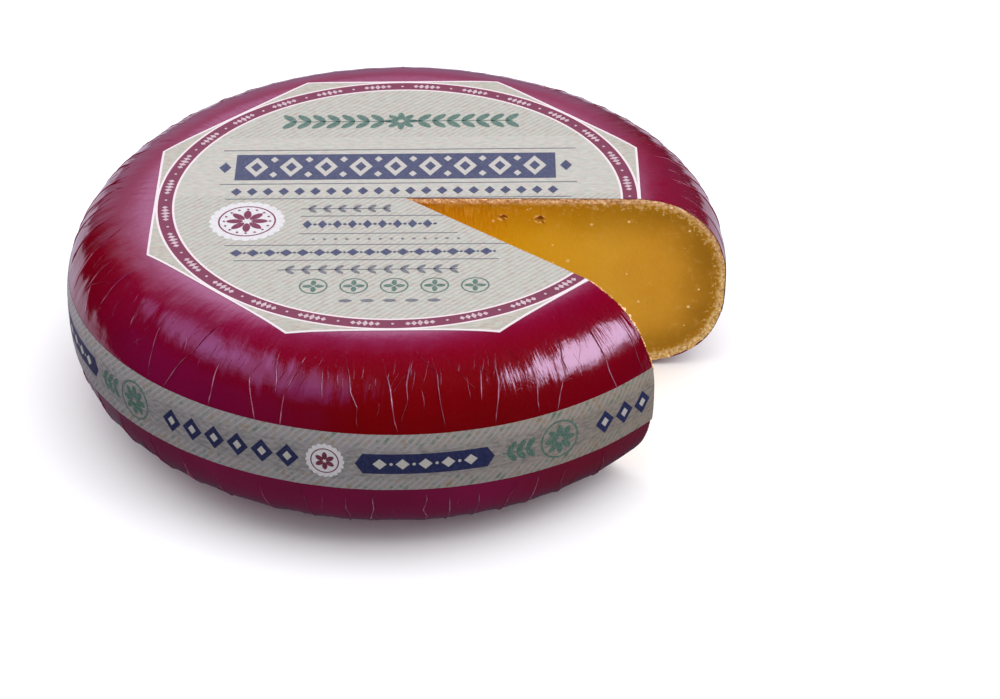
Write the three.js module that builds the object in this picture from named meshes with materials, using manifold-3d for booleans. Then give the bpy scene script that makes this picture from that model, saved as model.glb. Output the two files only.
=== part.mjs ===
// A wheel of aged gouda with one wedge cut out, standing on its flat underside.
// Millimetres, +Z up. The origin is on the wheel's own axis, at the level it stands on.
// The cheese is one solid with its rind. A thin coat wraps it all round, top and underside.
// A printed paper label lies on top of the coat, and a printed band runs round its side.
// All four were cut through together, so each of them ends at the two faces of the cut.
import * as THREE from "three";
import { mergeVertices } from "three/addons/utils/BufferGeometryUtils.js";
import Module from "manifold-3d";

const wasm = await Module();
wasm.setup();

// The wheel, measured on the outside of the coat
const WHEEL_RADIUS = 190;
const WHEEL_HEIGHT = 112;
const BULGE_HEIGHT = 62.5; // where the side stands out furthest
const TOP_FLAT = 139; // radius of the flat on top
const TOP_POWER = 2.05; // 2 would be an elliptic shoulder, more is squarer
const BASE_FLAT = 115; // radius of the flat that it stands on
const BASE_POWER = 3;

// A wheel pressed and turned by hand isn't quite round: each row is a swelling
// of so many lobes, so many millimetres high, with one lobe at this angle.
const OUT_OF_ROUND = [
  { lobes: 2, swell: 1.75, towardDeg: 76.5 },
  { lobes: 3, swell: 0.5, towardDeg: 19 },
  { lobes: 4, swell: 0.85, towardDeg: 17 },
];

// The cut: both faces meet in an upright edge, a little off the wheel's axis
const CUT_TIP = [5.7, -2.4];
const FAR_FACE_DEG = -1.4;
const NEAR_FACE_DEG = -41.3;

// Thicknesses, and the gap that keeps two neighbours apart
const COAT = 0.8;
const PAPER = 0.4;
const GAP = 0.35;

// The label is an eight-sided sheet, and the band slopes a little round the side
const LABEL_CENTRE = [1.5, -2.9];
const LABEL_RADIUS = 149; // out to its corners
const LABEL_SIDES = 8;
const BAND_WIDTH = 34;
const BAND_HEIGHT = 55; // of its middle line, on the average
const BAND_SLOPE = [-1.9, -6.5]; // how far it rises towards +X and +Y

// Small eyes that the knife opened: [out from the cut's edge, height, radius]
const FAR_FACE_EYES = [
  [55, 99.5, 1.6],
  [76, 98.5, 1.9],
];
const NEAR_FACE_EYES = [
  [84, 62, 1.9],
  [121, 40, 1.6],
];

// How finely the solids are faceted
const TURN_STEPS = 64;
const SHOULDER_STEPS = 8;
// The label has points at these shares of its reach, closest where it bends down
const LABEL_RINGS = [0.45, 0.87, 0.91, 0.94, 0.97, 1];
const BAND_ROWS = 8;
const EYE_STEPS = 12;

const radians = THREE.MathUtils.degToRad;

// The wheel's radius at an angle, as a share of the round one
function outOfRound(angle) {
  return OUT_OF_ROUND.reduce(
    (sum, { lobes, swell, towardDeg }) =>
      sum + (swell / WHEEL_RADIUS) * Math.cos(lobes * (angle - radians(towardDeg))),
    1,
  );
}

// The wheel's outline from the edge of the top flat down to the edge of the lower one,
// as [radius, height], moved in by an inset that is negative outside the coat
function outline(inset) {
  const points = [];
  const quarter = (k) => (k / SHOULDER_STEPS) * (Math.PI / 2);
  for (let k = 0; k <= SHOULDER_STEPS; k++) {
    points.push([
      TOP_FLAT + (WHEEL_RADIUS - inset - TOP_FLAT) * Math.sin(quarter(k)) ** (2 / TOP_POWER),
      BULGE_HEIGHT + (WHEEL_HEIGHT - inset - BULGE_HEIGHT) * Math.cos(quarter(k)) ** (2 / TOP_POWER),
    ]);
  }
  for (let k = 1; k <= SHOULDER_STEPS; k++) {
    points.push([
      BASE_FLAT + (WHEEL_RADIUS - inset - BASE_FLAT) * Math.cos(quarter(k)) ** (2 / BASE_POWER),
      BULGE_HEIGHT - (BULGE_HEIGHT - inset) * Math.sin(quarter(k)) ** (2 / BASE_POWER),
    ]);
  }
  return points;
}

// One coordinate of a quarter of a superellipse, from the other as a share of its half axis
function superellipse(share, power) {
  return Math.max(0, 1 - Math.abs(share) ** power) ** (1 / power);
}

// The height of the wheel's top at a place, and its radius at a height on the side
function topHeight([x, y], inset) {
  const radius = Math.hypot(x, y) / outOfRound(Math.atan2(y, x));
  const share = Math.max(0, radius - TOP_FLAT) / (WHEEL_RADIUS - inset - TOP_FLAT);
  return BULGE_HEIGHT + (WHEEL_HEIGHT - inset - BULGE_HEIGHT) * superellipse(share, TOP_POWER);
}

function sideRadius(height, inset) {
  const above = height > BULGE_HEIGHT;
  const [flat, power] = above ? [TOP_FLAT, TOP_POWER] : [BASE_FLAT, BASE_POWER];
  const reach = above ? WHEEL_HEIGHT - inset - BULGE_HEIGHT : BULGE_HEIGHT - inset;
  const share = (height - BULGE_HEIGHT) / reach;
  return flat + (WHEEL_RADIUS - inset - flat) * superellipse(share, power);
}

// Where a level line from the tip of the cut meets the wheel at a radius
function outFromTip(direction, radius) {
  const [tipX, tipY] = CUT_TIP;
  const [alongX, alongY] = [Math.cos(direction), Math.sin(direction)];
  const along = tipX * alongX + tipY * alongY;
  let angle = direction;
  let place = [0, 0];
  for (let pass = 0; pass < 4; pass++) {
    const reach = radius * outOfRound(angle);
    const distance = Math.sqrt(along ** 2 - tipX ** 2 - tipY ** 2 + reach ** 2) - along;
    place = [tipX + distance * alongX, tipY + distance * alongY];
    angle = Math.atan2(place[1], place[0]);
  }
  return place;
}

// The label's corners, the one that the wedge took with it included
const labelCorners = Array.from({ length: LABEL_SIDES }, (_, k) => {
  const turn = ((k + 0.5) / LABEL_SIDES) * 2 * Math.PI;
  return [
    LABEL_CENTRE[0] + LABEL_RADIUS * Math.cos(turn),
    LABEL_CENTRE[1] + LABEL_RADIUS * Math.sin(turn),
  ];
});

// How far the label reaches from the tip of the cut in a direction
function labelReach(direction) {
  const across = LABEL_RADIUS * Math.cos(Math.PI / LABEL_SIDES);
  const reaches = labelCorners.map((_, k) => {
    const normal = (k / LABEL_SIDES) * 2 * Math.PI;
    const [nx, ny] = [Math.cos(normal), Math.sin(normal)];
    const facing = nx * Math.cos(direction) + ny * Math.sin(direction);
    const start = nx * (CUT_TIP[0] - LABEL_CENTRE[0]) + ny * (CUT_TIP[1] - LABEL_CENTRE[1]);
    return facing > 0 ? (across - start) / facing : Infinity;
  });
  return Math.min(...reaches);
}

// Directions from the tip of the cut, counterclockwise from the far face round to the near
// one: even steps, with those nearest to the label's corners moved onto them
const directions = (() => {
  const from = radians(FAR_FACE_DEG);
  const turn = radians(360 + NEAR_FACE_DEG - FAR_FACE_DEG);
  const even = Array.from({ length: TURN_STEPS + 1 }, (_, k) => from + (turn * k) / TURN_STEPS);
  for (const [x, y] of labelCorners) {
    const corner = Math.atan2(y - CUT_TIP[1], x - CUT_TIP[0]);
    const past = THREE.MathUtils.euclideanModulo(corner - from, 2 * Math.PI);
    const step = Math.round((past / turn) * TURN_STEPS);
    if (step > 0 && step < TURN_STEPS) even[step] = from + past;
  }
  return even;
})();

// Columns of points down the wheel's whole surface at an inset, one for each direction
function wheelColumns(inset) {
  const top = [...CUT_TIP, WHEEL_HEIGHT - inset];
  const base = [...CUT_TIP, inset];
  return directions.map((direction) => [
    top,
    ...outline(inset).map(([radius, height]) => [...outFromTip(direction, radius), height]),
    base,
  ]);
}

// The upright edge of the cut as a column with as many points as a wheel column
function edgeColumns(inset) {
  const heights = outline(inset).map(([, height]) => height);
  const column = [WHEEL_HEIGHT - inset, ...heights, inset].map((height) => [...CUT_TIP, height]);
  return directions.map(() => column);
}

function labelColumns(inset) {
  return directions.map((direction) =>
    [0, ...LABEL_RINGS].map((share) => {
      const distance = share * labelReach(direction);
      const place = [
        CUT_TIP[0] + distance * Math.cos(direction),
        CUT_TIP[1] + distance * Math.sin(direction),
      ];
      return [...place, topHeight(place, inset)];
    }),
  );
}

function bandColumns(inset) {
  return directions.map((direction) =>
    Array.from({ length: BAND_ROWS + 1 }, (_, k) => {
      const middle =
        BAND_HEIGHT + BAND_SLOPE[0] * Math.cos(direction) + BAND_SLOPE[1] * Math.sin(direction);
      const height = middle + BAND_WIDTH * (0.5 - k / BAND_ROWS);
      return [...outFromTip(direction, sideRadius(height, inset)), height];
    }),
  );
}

// The closed body between two sets of columns, as a geometry with shared corners
function bodyBetween(outer, inner) {
  const corners = [];
  const triangle = (...points) => {
    const [a, b, c] = points.map((point) => new THREE.Vector3(...point));
    if (new THREE.Triangle(a, b, c).getArea() > 1e-6) corners.push(...points.flat());
  };
  const quad = (a, b, c, d) => {
    triangle(a, b, c);
    triangle(a, c, d);
  };
  const last = outer.length - 1;
  const end = outer[0].length - 1;
  for (let j = 0; j < last; j++) {
    for (let i = 0; i < end; i++) {
      quad(outer[j][i], outer[j][i + 1], outer[j + 1][i + 1], outer[j + 1][i]);
      quad(inner[j][i], inner[j + 1][i], inner[j + 1][i + 1], inner[j][i + 1]);
    }
    quad(outer[j][0], outer[j + 1][0], inner[j + 1][0], inner[j][0]);
    quad(outer[j][end], inner[j][end], inner[j + 1][end], outer[j + 1][end]);
  }
  for (let i = 0; i < end; i++) {
    quad(outer[0][i], inner[0][i], inner[0][i + 1], outer[0][i + 1]);
    quad(outer[last][i], outer[last][i + 1], inner[last][i + 1], inner[last][i]);
  }
  const geometry = new THREE.BufferGeometry();
  geometry.setAttribute("position", new THREE.Float32BufferAttribute(corners, 3));
  return mergeVertices(geometry);
}

// Between three.js geometry and solids that can be cut
function toSolid(geometry) {
  const bare = geometry.clone();
  bare.deleteAttribute("normal");
  bare.deleteAttribute("uv");
  const merged = mergeVertices(bare);
  return new wasm.Manifold(
    new wasm.Mesh({
      numProp: 3,
      vertProperties: merged.attributes.position.array,
      triVerts: new Uint32Array(merged.index.array),
    }),
  );
}

function toGeometry(solid) {
  const { vertProperties, triVerts } = solid.getMesh();
  const geometry = new THREE.BufferGeometry();
  geometry.setAttribute("position", new THREE.BufferAttribute(vertProperties, 3));
  geometry.setIndex(new THREE.BufferAttribute(triVerts, 1));
  return geometry;
}

// A round hollow half sunk in a face of the cut
function eye(faceDeg, [out, height, radius]) {
  const ball = new THREE.SphereGeometry(radius, EYE_STEPS, EYE_STEPS / 2);
  ball.rotateZ(radians(faceDeg));
  ball.translate(
    CUT_TIP[0] + out * Math.cos(radians(faceDeg)),
    CUT_TIP[1] + out * Math.sin(radians(faceDeg)),
    height,
  );
  return toSolid(ball);
}

function cheeseGeometry() {
  const inset = COAT + GAP;
  const eyes = [
    ...FAR_FACE_EYES.map((place) => eye(FAR_FACE_DEG, place)),
    ...NEAR_FACE_EYES.map((place) => eye(NEAR_FACE_DEG, place)),
  ];
  const whole = toSolid(bodyBetween(wheelColumns(inset), edgeColumns(inset)));
  return toGeometry(eyes.reduce((rest, hollow) => rest.subtract(hollow), whole));
}

function material(color, roughness) {
  return new THREE.MeshStandardMaterial({ color, roughness, metalness: 0 });
}

function part(name, geometry, finish) {
  geometry.computeVertexNormals();
  const mesh = new THREE.Mesh(geometry, finish);
  mesh.name = name;
  return mesh;
}

const wheel = new THREE.Group();
wheel.add(
  part("cheese", cheeseGeometry(), material("#c98a24", 0.6)),
  part("coating", bodyBetween(wheelColumns(0), wheelColumns(COAT)), material("#7d0a24", 0.3)),
  part(
    "top_label",
    bodyBetween(labelColumns(-GAP - PAPER), labelColumns(-GAP)),
    material("#c9c5bb", 0.6),
  ),
  part(
    "side_band",
    bodyBetween(bandColumns(-GAP - PAPER), bandColumns(-GAP)),
    material("#a5a294", 0.6),
  ),
);

export default wheel;
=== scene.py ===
import math

import bmesh
import bpy
import numpy as np
from mathutils import Matrix, Vector


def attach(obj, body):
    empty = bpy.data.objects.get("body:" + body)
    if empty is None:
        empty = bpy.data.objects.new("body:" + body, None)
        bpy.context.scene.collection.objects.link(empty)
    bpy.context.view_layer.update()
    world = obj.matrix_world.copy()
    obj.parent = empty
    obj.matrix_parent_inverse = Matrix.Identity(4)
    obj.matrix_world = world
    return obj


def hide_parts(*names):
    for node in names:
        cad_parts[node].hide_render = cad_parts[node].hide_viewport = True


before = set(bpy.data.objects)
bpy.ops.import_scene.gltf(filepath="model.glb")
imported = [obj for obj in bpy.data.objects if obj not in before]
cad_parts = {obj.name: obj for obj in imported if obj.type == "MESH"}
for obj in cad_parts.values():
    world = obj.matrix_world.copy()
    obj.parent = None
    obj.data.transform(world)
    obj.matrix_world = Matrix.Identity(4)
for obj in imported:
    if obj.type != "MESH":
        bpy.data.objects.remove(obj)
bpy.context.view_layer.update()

# Lengths and angles below are in millimetres and degrees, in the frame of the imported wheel:
# +Z up, the origin on the wheel's axis at the level that it stands on.
MM = 0.001

# The wheel, measured on the outside of its coat
WHEEL_RADIUS = 190.0
WHEEL_HEIGHT = 112.0
BULGE_HEIGHT = 62.5
TOP_FLAT = 139.0
TOP_POWER = 2.05
BASE_FLAT = 115.0
BASE_POWER = 3.0
OUT_OF_ROUND = ((2, 1.75, 76.5), (3, 0.5, 19.0), (4, 0.85, 17.0))  # lobes, swell, towards
CUT_TIP = np.array([5.7, -2.4])
FAR_FACE = math.radians(-1.4)
NEAR_FACE = math.radians(-41.3)
FILM_THICKNESS = 0.35
CHEESE_INSET = 0.4

# The papers
LABEL_CENTRE = np.array([1.5, -2.9])
LABEL_RADIUS = 149.0
LABEL_APOTHEM = LABEL_RADIUS * math.cos(math.pi / 8)
BAND_WIDTH = 34.0
BAND_HEIGHT = 55.0
BAND_SLOPE = (-1.9, -6.5)
PAPER = 0.25  # how thick the papers are
INK = 0.06  # how far the ink stands off the paper, enough to lie clear of it

# Eyes that the knife opened, out from the cut's edge, height and radius
FAR_FACE_EYES = ((55.0, 99.5, 1.6), (76.0, 98.5, 1.9))
NEAR_FACE_EYES = ((84.0, 62.0, 1.9), (121.0, 40.0, 1.6))


# the wheel's surface

def outline_table():
    """The outline from the top's centre to the base's centre: length along it, radius, height."""
    t = np.linspace(0, math.pi / 2, 2500)
    sine, cosine = np.sin(t), np.maximum(np.cos(t), 0)
    top = (
        TOP_FLAT + (WHEEL_RADIUS - TOP_FLAT) * sine ** (2 / TOP_POWER),
        BULGE_HEIGHT + (WHEEL_HEIGHT - BULGE_HEIGHT) * cosine ** (2 / TOP_POWER),
    )
    base = (
        BASE_FLAT + (WHEEL_RADIUS - BASE_FLAT) * cosine ** (2 / BASE_POWER),
        BULGE_HEIGHT * (1 - sine ** (2 / BASE_POWER)),
    )
    radius = np.concatenate([[0], top[0], base[0][1:], [0]])
    height = np.concatenate([[WHEEL_HEIGHT], top[1], base[1][1:], [0]])
    down = np.concatenate([[0], np.cumsum(np.hypot(np.diff(radius), np.diff(height)))])
    return down, radius, height


DOWN, RADII, HEIGHTS = outline_table()
TOP_EDGE = TOP_FLAT  # where the shoulder starts, measured down the outline
BULGE = float(np.interp(-BULGE_HEIGHT, -HEIGHTS, DOWN))
BASE_EDGE = float(DOWN[-2])
SLOPE_OUT = np.gradient(HEIGHTS, DOWN) * -1
SLOPE_UP = np.gradient(RADII, DOWN)


def out_of_round(angle):
    swell = sum(s / WHEEL_RADIUS * np.cos(k * (angle - math.radians(a))) for k, s, a in OUT_OF_ROUND)
    return 1 + swell


def unwrap(angle):
    """The same angle, counted on from the far face of the cut."""
    start = FAR_FACE - 0.02
    return np.mod(angle - start, 2 * math.pi) + start


def soft_noise(x, y, seed):
    """Smooth random values from 0 to 1 over a plane, with one random value a unit."""
    values = np.random.default_rng(seed).random((128, 128))
    column, row = np.floor(x).astype(int), np.floor(y).astype(int)
    across, along = x - column, y - row
    across = across * across * (3 - 2 * across)
    along = along * along * (3 - 2 * along)

    def value(i, j):
        return values[(column + i) % 128, (row + j) % 128]

    low = value(0, 0) * (1 - across) + value(1, 0) * across
    high = value(0, 1) * (1 - across) + value(1, 1) * across
    return low * (1 - along) + high * along


def step(low, high, value):
    """0 below low, 1 above high, and smooth between."""
    share = np.clip((value - low) / (high - low), 0, 1)
    return share * share * (3 - 2 * share)


def band_middle(angle):
    return BAND_HEIGHT + BAND_SLOPE[0] * np.cos(angle) + BAND_SLOPE[1] * np.sin(angle)


def down_at_height(height):
    side = (DOWN >= TOP_EDGE) & (DOWN <= BASE_EDGE)
    return np.interp(-np.asarray(height), -HEIGHTS[side], DOWN[side])


def down_at_radius(radius):
    top = DOWN <= BULGE
    return np.interp(radius, RADII[top], DOWN[top])


class Fold:
    """A crease of the drawn film: a kinked line down the wheel, with a height and a width."""

    def __init__(self, side, start, end_side, end, height, width, seed, kink=0.8):
        rng = np.random.default_rng(seed)
        count = max(2, int((end - start) / 8)) + 1
        share = np.linspace(0, 1, count)
        offset = rng.normal(0, kink, count)
        offset[[0, -1]] = 0
        self.start, self.end, self.height, self.width = start, end, height, width
        self.knots = start + share * (end - start)
        self.sides = side + share * (end_side - side) + offset
        self.hand = 1 if rng.random() < 0.5 else -1
        self.rough = rng.random(64)
        # how strongly the crest's painted glint shows
        self.pale = rng.uniform(0.35, 1.0)

    def side_at(self, down):
        return np.interp(down, self.knots, self.sides)


AROUND_START = (FAR_FACE - 0.012) * WHEEL_RADIUS
AROUND_END = (2 * math.pi + NEAR_FACE + 0.01) * WHEEL_RADIUS

# The creases that stand out: towards degrees and the length down the outline at both ends, and
# how strong each is
SEEN_FOLDS = (
    (-98.2, 156, -94.3, 204, 0.9), (-91.1, 160, -88.3, 204, 0.9), (-85.8, 157, -88.3, 203, 0.8),
    (-81.9, 161, -80.8, 204, 1.0), (-73.5, 170, -74.6, 190, 0.4), (-69.9, 164, -72.9, 204, 1.0),
    (-64.1, 166, -65.0, 205, 0.8), (-57.5, 162, -58.1, 186, 1.0), (-59.2, 187, -62.0, 205, 0.6),
    (-50.2, 160, -49.8, 212, 1.0), (-43.3, 176, -43.3, 204, 0.6), (-160.7, 167, -160.7, 196, 0.6),
    (-160.5, 183, -156.2, 200, 0.5), (-153.4, 160, -153.4, 190, 0.9), (-144.7, 166, -142.9, 184, 0.6),
    (-137.4, 163, -134.4, 203, 0.8), (-125.4, 156, -127.1, 178, 1.0), (-127.1, 177, -130.9, 204, 1.0),
    (-121.1, 174, -121.1, 204, 0.5), (-115.1, 177, -111.9, 205, 0.7), (-111.7, 161, -109.3, 187, 1.0),
    (-105.7, 162, -107.8, 184, 1.0), (-107.8, 183, -107.8, 204, 0.8), (-102.0, 168, -101.0, 188, 0.4),
    (-168.0, 160, -165.5, 203, 0.7), (-176.0, 158, -174.0, 204, 0.9),
    (-104.4, 236, -103.6, 285, 0.5), (-97.1, 236, -97.8, 300, 0.8), (-92.4, 236, -94.6, 292, 0.9),
    (-84.5, 236, -84.0, 280, 0.5), (-80.2, 236, -81.0, 300, 0.8), (-75.3, 236, -76.3, 288, 0.5),
    (-69.3, 236, -71.6, 300, 1.0), (-65.6, 236, -66.0, 290, 0.6), (-60.9, 236, -58.6, 298, 0.8),
    (-52.8, 236, -50.0, 296, 1.0), (-112.0, 236, -111.0, 300, 0.6), (-119.5, 236, -121.0, 290, 0.7),
    (-127.0, 236, -127.5, 302, 0.8), (-135.0, 236, -133.0, 295, 0.9), (-143.0, 236, -144.0, 300, 0.7),
    (-151.0, 236, -150.0, 290, 0.8), (-160.0, 236, -161.5, 300, 0.9), (-169.0, 236, -168.0, 296, 0.7),
)


def draw_folds():
    """Every crease, as the film drew together: long ones between the label and the band, with
    forks, short ones on the shoulder, and long ones under the band."""
    rng = np.random.default_rng(11)
    long_ones, short_ones = [], []

    def crease(side, start, end_side, end, strength, into):
        short = into is short_ones
        height, width = (0.1 + 0.42 * strength, 0.5 + 0.6 * strength) if short else (0.14 + 0.5 * strength, 0.75 + 0.7 * strength)
        fold = Fold(side, start, end_side, end, height, width, int(rng.integers(1 << 30)), 0.35 if end - start < 18 else 0.85)
        fold.pale *= 0.6 if short else 1.0
        into.append(fold)

    for first, start, last, end, strength in SEEN_FOLDS:
        first, last = math.radians(first % 360), math.radians(last % 360)
        crease(first * WHEEL_RADIUS, start, last * WHEEL_RADIUS, end, strength, long_ones)
    # the side that is turned away gets the same kind of folds at the same spacing
    for start_at, low in ((1, False), (6, True)):
        side = AROUND_START + start_at
        while side < math.radians(182) * WHEEL_RADIUS:
            middle = float(band_middle(side / WHEEL_RADIUS))
            if low:
                start, end = float(down_at_height(middle - BAND_WIDTH / 2)) - 3, rng.uniform(280, 304)
            else:
                start, end = rng.uniform(153, 166), float(down_at_height(middle + BAND_WIDTH / 2)) + 3
            crease(side, start, side + rng.normal(0, 5), end, rng.uniform(0.3, 0.8), long_ones)
            side += rng.uniform(13, 25)
    for fold in list(long_ones):
        if fold.start < 200 and fold.end - fold.start > 30 and rng.random() < 0.55:
            fork = rng.uniform(fold.start + 8, fold.end - 8)
            at = float(fold.side_at(fork))
            lean, length = rng.choice([-1, 1]) * rng.uniform(0.35, 1.0), rng.uniform(7, 17)
            crease(at - lean * length, fork - length, at, fork + 0.4, rng.uniform(0.3, 0.7), short_ones)
    # the fine wrinkles just outside the label, closest where the shoulder turns
    side = AROUND_START + 2
    while side < AROUND_END - 3:
        start, length = rng.normal(168, 6), rng.uniform(4, 15)
        lean = rng.normal(0, 0.35)
        crease(side, start, side + lean * length, start + length, rng.uniform(0.0, 0.55) ** 1.3, short_ones)
        side += rng.uniform(1.6, 6.5)
    side = AROUND_START + 3
    while side < AROUND_END - 3:
        start, length = rng.uniform(240, 285), rng.uniform(7, 20)
        crease(side, start, side + rng.normal(0, 2), start + length, rng.uniform(0, 0.5), short_ones)
        side += rng.uniform(5, 15)
    # a few small stars, where short wrinkles meet
    for _ in range(16):
        side, down = rng.uniform(AROUND_START + 8, AROUND_END - 8), rng.uniform(168, 200)
        for turn in rng.uniform(0, 2 * math.pi) + np.array([0, 2.2, 4.3]) + rng.normal(0, 0.3, 3):
            across, along = rng.uniform(1.6, 4.5) * np.array([math.sin(turn), math.cos(turn)])
            ends = sorted([(down, side), (down + along, side + across)])
            if abs(along) > 0.8:
                crease(ends[0][1], ends[0][0], ends[1][1], ends[1][0], 0.25, short_ones)
    return long_ones, short_ones


LONG_FOLDS, SHORT_FOLDS = draw_folds()
MAP_STEP = 0.7
MAP_SIDES = np.arange(AROUND_START - 20, AROUND_END + 20, MAP_STEP)
MAP_DOWNS = np.arange(136.0, BASE_EDGE + 4, MAP_STEP)


def dent_map():
    """How far the coat's skin lies inside the plain outline, all round the wheel: it sags
    between its long folds, and waves a little all over. Under the papers it is pressed smooth."""
    side, down = np.meshgrid(MAP_SIDES, MAP_DOWNS, indexing="ij")
    girth = np.interp(MAP_DOWNS, DOWN, RADII) / WHEEL_RADIUS
    nearest = np.full(side.shape, 22.0)
    for fold in LONG_FOLDS:
        path = fold.side_at(MAP_DOWNS)
        low = max(0, int((path.min() - 24 - MAP_SIDES[0]) / MAP_STEP))
        high = max(0, int((path.max() + 24 - MAP_SIDES[0]) / MAP_STEP))
        away = (MAP_SIDES[low:high, None] - path[None, :]) * girth
        beyond = np.maximum(fold.start - MAP_DOWNS, 0) + np.maximum(MAP_DOWNS - fold.end, 0)
        nearest[low:high] = np.minimum(nearest[low:high], np.hypot(away, beyond))
    sag = 0.36 * (1 - np.exp(-((nearest / 6.5) ** 2)))
    wave = 0.4 * soft_noise(side / 34, down / 80, 3) + 0.3 * soft_noise(side / 12, down / 50, 4)
    wave += 0.15 * soft_noise(side / 4.8, down / 16, 5) + 0.07 * soft_noise(side / 2.6, down / 9, 6)
    height = np.interp(down, DOWN, HEIGHTS)
    off_band = np.abs(height - band_middle(side / WHEEL_RADIUS)) / (BAND_WIDTH / 2)
    weight = step(139, 160, down) * (1 - step(300, 326, down))
    weight *= 0.3 + 0.7 * step(0.95, 1.35, off_band)
    weight *= 0.55 + 0.45 * step(560, 640, side)
    return 0.04 + weight * (sag + wave)


DENTS = dent_map()


def dent(angle, down):
    """The dent at places on the skin, read between the places of the map."""
    x = np.clip((angle * WHEEL_RADIUS - MAP_SIDES[0]) / MAP_STEP, 0, len(MAP_SIDES) - 1.001)
    y = np.clip((down - MAP_DOWNS[0]) / MAP_STEP, 0, len(MAP_DOWNS) - 1.001)
    i, j = x.astype(int), y.astype(int)
    x, y = x - i, y - j
    low = DENTS[i, j] * (1 - x) + DENTS[i + 1, j] * x
    high = DENTS[i, j + 1] * (1 - x) + DENTS[i + 1, j + 1] * x
    return low * (1 - y) + high * y


def skin(angle, down, lift=0.0):
    """Points on the coat's skin, so many millimetres above it."""
    angle, down = np.broadcast_arrays(unwrap(angle), down)
    lift = lift - dent(angle, down)
    radius = np.interp(down, DOWN, RADII) * out_of_round(angle) + np.interp(down, DOWN, SLOPE_OUT) * lift
    height = np.interp(down, DOWN, HEIGHTS) + np.interp(down, DOWN, SLOPE_UP) * lift
    return np.stack([radius * np.cos(angle), radius * np.sin(angle), height], -1)


def out_from_tip(direction, radius):
    """Where level lines from the tip of the cut reach the wheel at a radius."""
    along = CUT_TIP[0] * np.cos(direction) + CUT_TIP[1] * np.sin(direction)
    angle = direction
    for _ in range(5):
        reach = radius * out_of_round(angle)
        distance = np.sqrt(along**2 - CUT_TIP @ CUT_TIP + reach**2) - along
        x = CUT_TIP[0] + distance * np.cos(direction)
        y = CUT_TIP[1] + distance * np.sin(direction)
        angle = np.arctan2(y, x)
    return x, y, distance


def wheel_place(x, y):
    """The angle and the length down the outline of places on the wheel's top."""
    angle = unwrap(np.arctan2(y, x))
    return angle, down_at_radius(np.hypot(x, y) / out_of_round(angle))


# making pieces

def piece_from(name, points, faces, material, attributes=None, smooth=True):
    """A mesh object from points in millimetres, with its attributes, riding on the wheel."""
    mesh = bpy.data.meshes.new(name)
    mesh.from_pydata((np.asarray(points) * MM).tolist(), [], faces)
    mesh.polygons.foreach_set("use_smooth", np.full(len(mesh.polygons), smooth))
    for label, values in (attributes or {}).items():
        layer = mesh.attributes.new(label, "FLOAT_VECTOR", "POINT")
        layer.data.foreach_set("vector", np.asarray(values, np.float32).ravel())
    mesh.update()
    piece = bpy.data.objects.new(name, mesh)
    bpy.context.scene.collection.objects.link(piece)
    mesh.materials.append(material)
    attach(piece, "root")
    return piece


def grid_faces(rows, columns, first=0, flip=False):
    """Quads between rows of points, numbered row by row."""
    corner = first + np.arange((rows - 1) * columns).reshape(rows - 1, columns)[:, :-1].ravel()
    quads = np.stack([corner, corner + columns, corner + columns + 1, corner + 1], 1)
    return (quads[:, ::-1] if flip else quads).tolist()


def paint(code):
    """A colour written as sRGB hex, as the linear values that Blender mixes."""
    channels = [int(code[k : k + 2], 16) / 255 for k in (1, 3, 5)]
    return (*(c / 12.92 if c <= 0.04045 else ((c + 0.055) / 1.055) ** 2.4 for c in channels), 1.0)


def add(tree, kind, inputs=None, stops=(), **settings):
    """Adds a node, sets what it is told, and fills or links its inputs by name or number. A node
    given for an input stands for its first live output; stops are places and sRGB hex colours."""
    node = tree.nodes.new(kind)
    for key, value in settings.items():
        setattr(node, key, value)
    for k, (place, code) in enumerate(stops):
        points = node.color_ramp.elements
        point = points[k] if k < len(points) else points.new(1.0)
        point.position, point.color = place, paint(code)
    for key, value in (inputs or {}).items():
        if isinstance(value, bpy.types.Node):
            value = next(socket for socket in value.outputs if socket.enabled)
        if isinstance(value, bpy.types.NodeSocket):
            tree.links.new(value, node.inputs[key])
        else:
            node.inputs[key].default_value = value
    return node


def finish_of(name, **shader):
    """A material with one shader, whose constant values are set on its own sockets."""
    material = bpy.data.materials.new(name)
    material.use_nodes = True
    tree = material.node_tree
    tree.nodes.clear()
    body = add(tree, "ShaderNodeBsdfPrincipled", shader)
    add(tree, "ShaderNodeOutputMaterial", {"Surface": body.outputs[0]})
    return material, tree, body


# materials

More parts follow.
